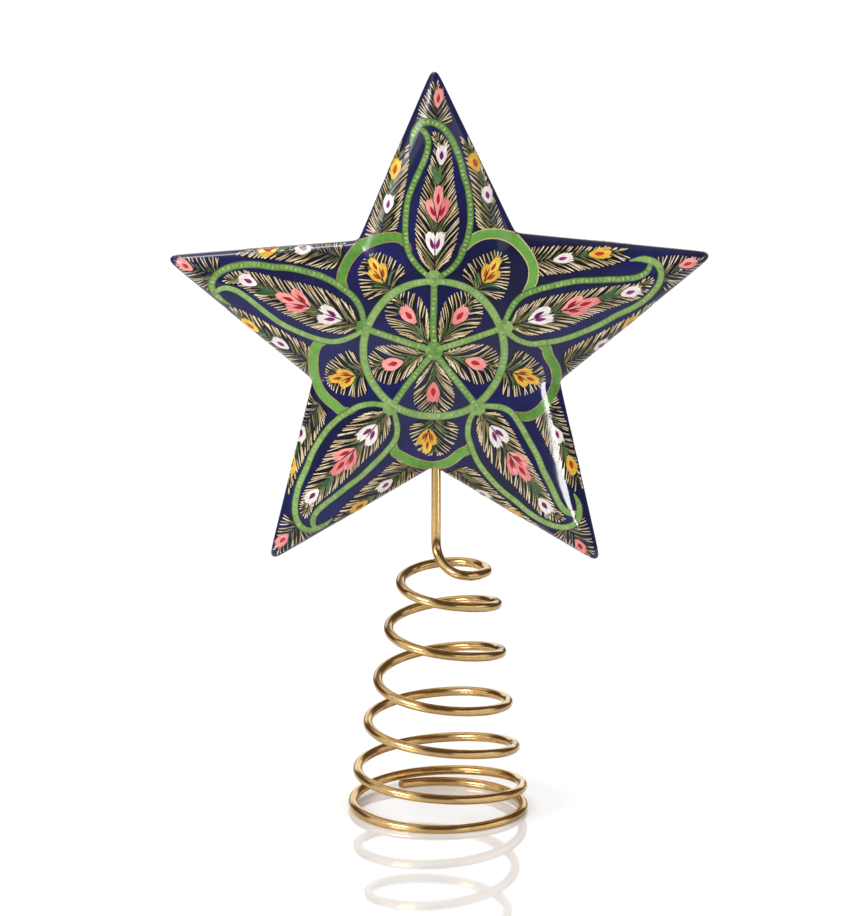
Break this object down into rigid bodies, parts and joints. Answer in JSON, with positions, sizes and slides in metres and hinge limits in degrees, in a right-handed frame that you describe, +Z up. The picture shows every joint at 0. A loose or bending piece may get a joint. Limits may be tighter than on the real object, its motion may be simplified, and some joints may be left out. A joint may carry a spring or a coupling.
{
  "type": "star tree topper",
  "caption": "Hollow lacquered star with painted floral ornament on a wire stem, held up by a widening wire spring that slips over the tip of a tree.",
  "frame": {"origin": "on the floor, midway between the tips of the left and right arms", "axes": "+Z up through the star's top arm, the star's painted front towards -Y, +X to the right seen from the front"},
  "size_m": [0.1265, 0.0427, 0.1795],
  "materials": {
    "lacquered_shell": "hand-painted papier-mache, dark blue ground with floral ornament under clear gloss lacquer",
    "bare_paper": "bare pressed paper pulp and glued paper strip, hidden inside",
    "wire": "drawn brass wire, bright with brown drawing marks"
  },
  "bodies": {
    "foot": {"spring_foot": "wire"},
    "turn_1": {"spring_turn_1": "wire"},
    "turn_2": {"spring_turn_2": "wire"},
    "turn_3": {"spring_turn_3": "wire"},
    "neck": {"spring_neck": "wire"},
    "star": {"stem": "wire", "stem_plug": "bare_paper", "seam_strip": "bare_paper", "front_shell": "lacquered_shell", "back_shell": "lacquered_shell"}
  },
  "joints": [
    {"name": "bob_lower", "type": "slide", "parent": "foot", "child": "turn_1", "axis": [0, 0, 1], "range_m": [-0.0055, 0.008], "stiffness_N_per_m": 1640},
    {"name": "nod", "type": "hinge", "parent": "turn_1", "child": "turn_2", "pos_m": [0.0003, 0, 0.0234], "axis": [1, 0, 0], "range_deg": [-8, 8], "stiffness_Nm_per_rad": 0.24},
    {"name": "bob_upper", "type": "slide", "parent": "turn_2", "child": "turn_3", "axis": [0, 0, 1], "range_m": [-0.0055, 0.008], "stiffness_N_per_m": 1640},
    {"name": "sway", "type": "hinge", "parent": "turn_3", "child": "neck", "pos_m": [0.0013, 0, 0.047], "axis": [0, 1, 0], "range_deg": [-8, 8], "stiffness_Nm_per_rad": 0.24},
    {"name": "twist", "type": "hinge", "parent": "neck", "child": "star", "pos_m": [-0.00069, 0, 0.0678], "axis": [0, 0, 1], "range_deg": [-15, 15], "stiffness_Nm_per_rad": 0.29}
  ],
  "couplings": [
    {"joint": "bob_upper", "follows": "bob_lower", "ratio": 1}
  ]
}
